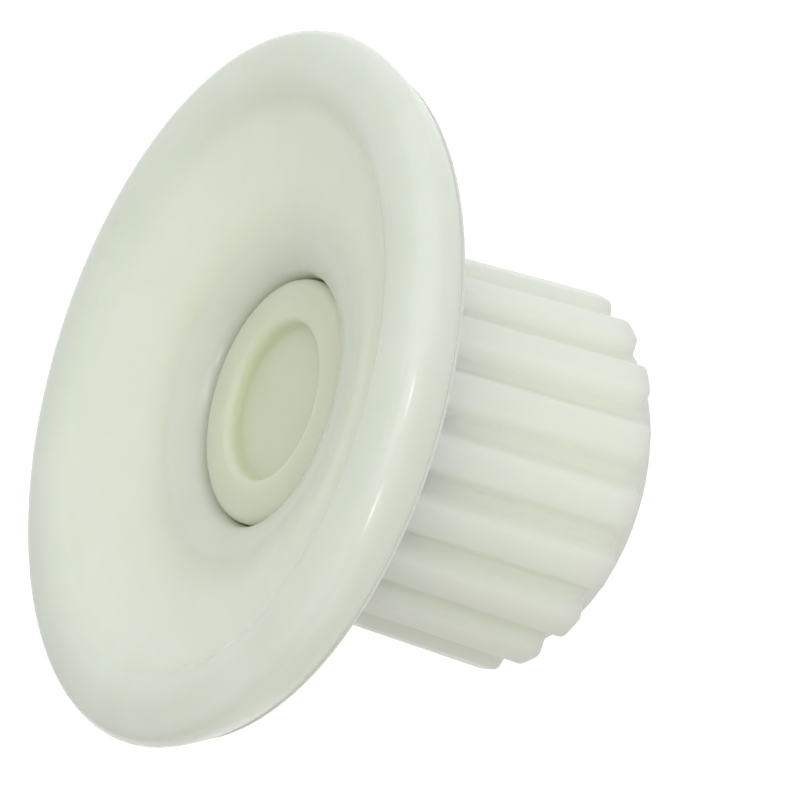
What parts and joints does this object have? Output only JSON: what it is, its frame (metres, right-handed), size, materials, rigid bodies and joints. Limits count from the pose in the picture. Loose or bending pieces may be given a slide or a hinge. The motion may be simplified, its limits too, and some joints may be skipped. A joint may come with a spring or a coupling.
{
  "type": "spur gear",
  "caption": "Moulded spur pinion with a large dished flange at one end, running on plain bushes over a fixed spindle sleeve.",
  "frame": {"origin": "centre of the end of the pinion's hub, which is also the centre of the bottom of the bounding box", "axes": "+Z along the axis of rotation, from the pinion's free end towards the open side of the dish; +X through the middle of a tooth"},
  "size_m": [0.0534, 0.0534, 0.0311],
  "materials": {
    "natural_plastic": "semi-gloss, slightly translucent natural plastic",
    "bearing_plastic": "satin natural bearing plastic",
    "spindle_plastic": "semi-gloss natural plastic",
    "spring_steel": "oiled spring steel"
  },
  "bodies": {
    "spindle": {"spindle_sleeve": "spindle_plastic", "front_thrust_washer": "bearing_plastic", "rear_thrust_washer": "bearing_plastic", "retaining_ring": "spring_steel"},
    "gear": {"pinion_sleeve": "natural_plastic", "dished_flange": "natural_plastic", "front_bush": "bearing_plastic", "rear_bush": "bearing_plastic"}
  },
  "joints": [
    {"name": "gear_spin", "type": "hinge", "parent": "spindle", "child": "gear", "pos_m": [0, 0, 0.0116], "axis": [0, 0, 1], "continuous": true}
  ]
}
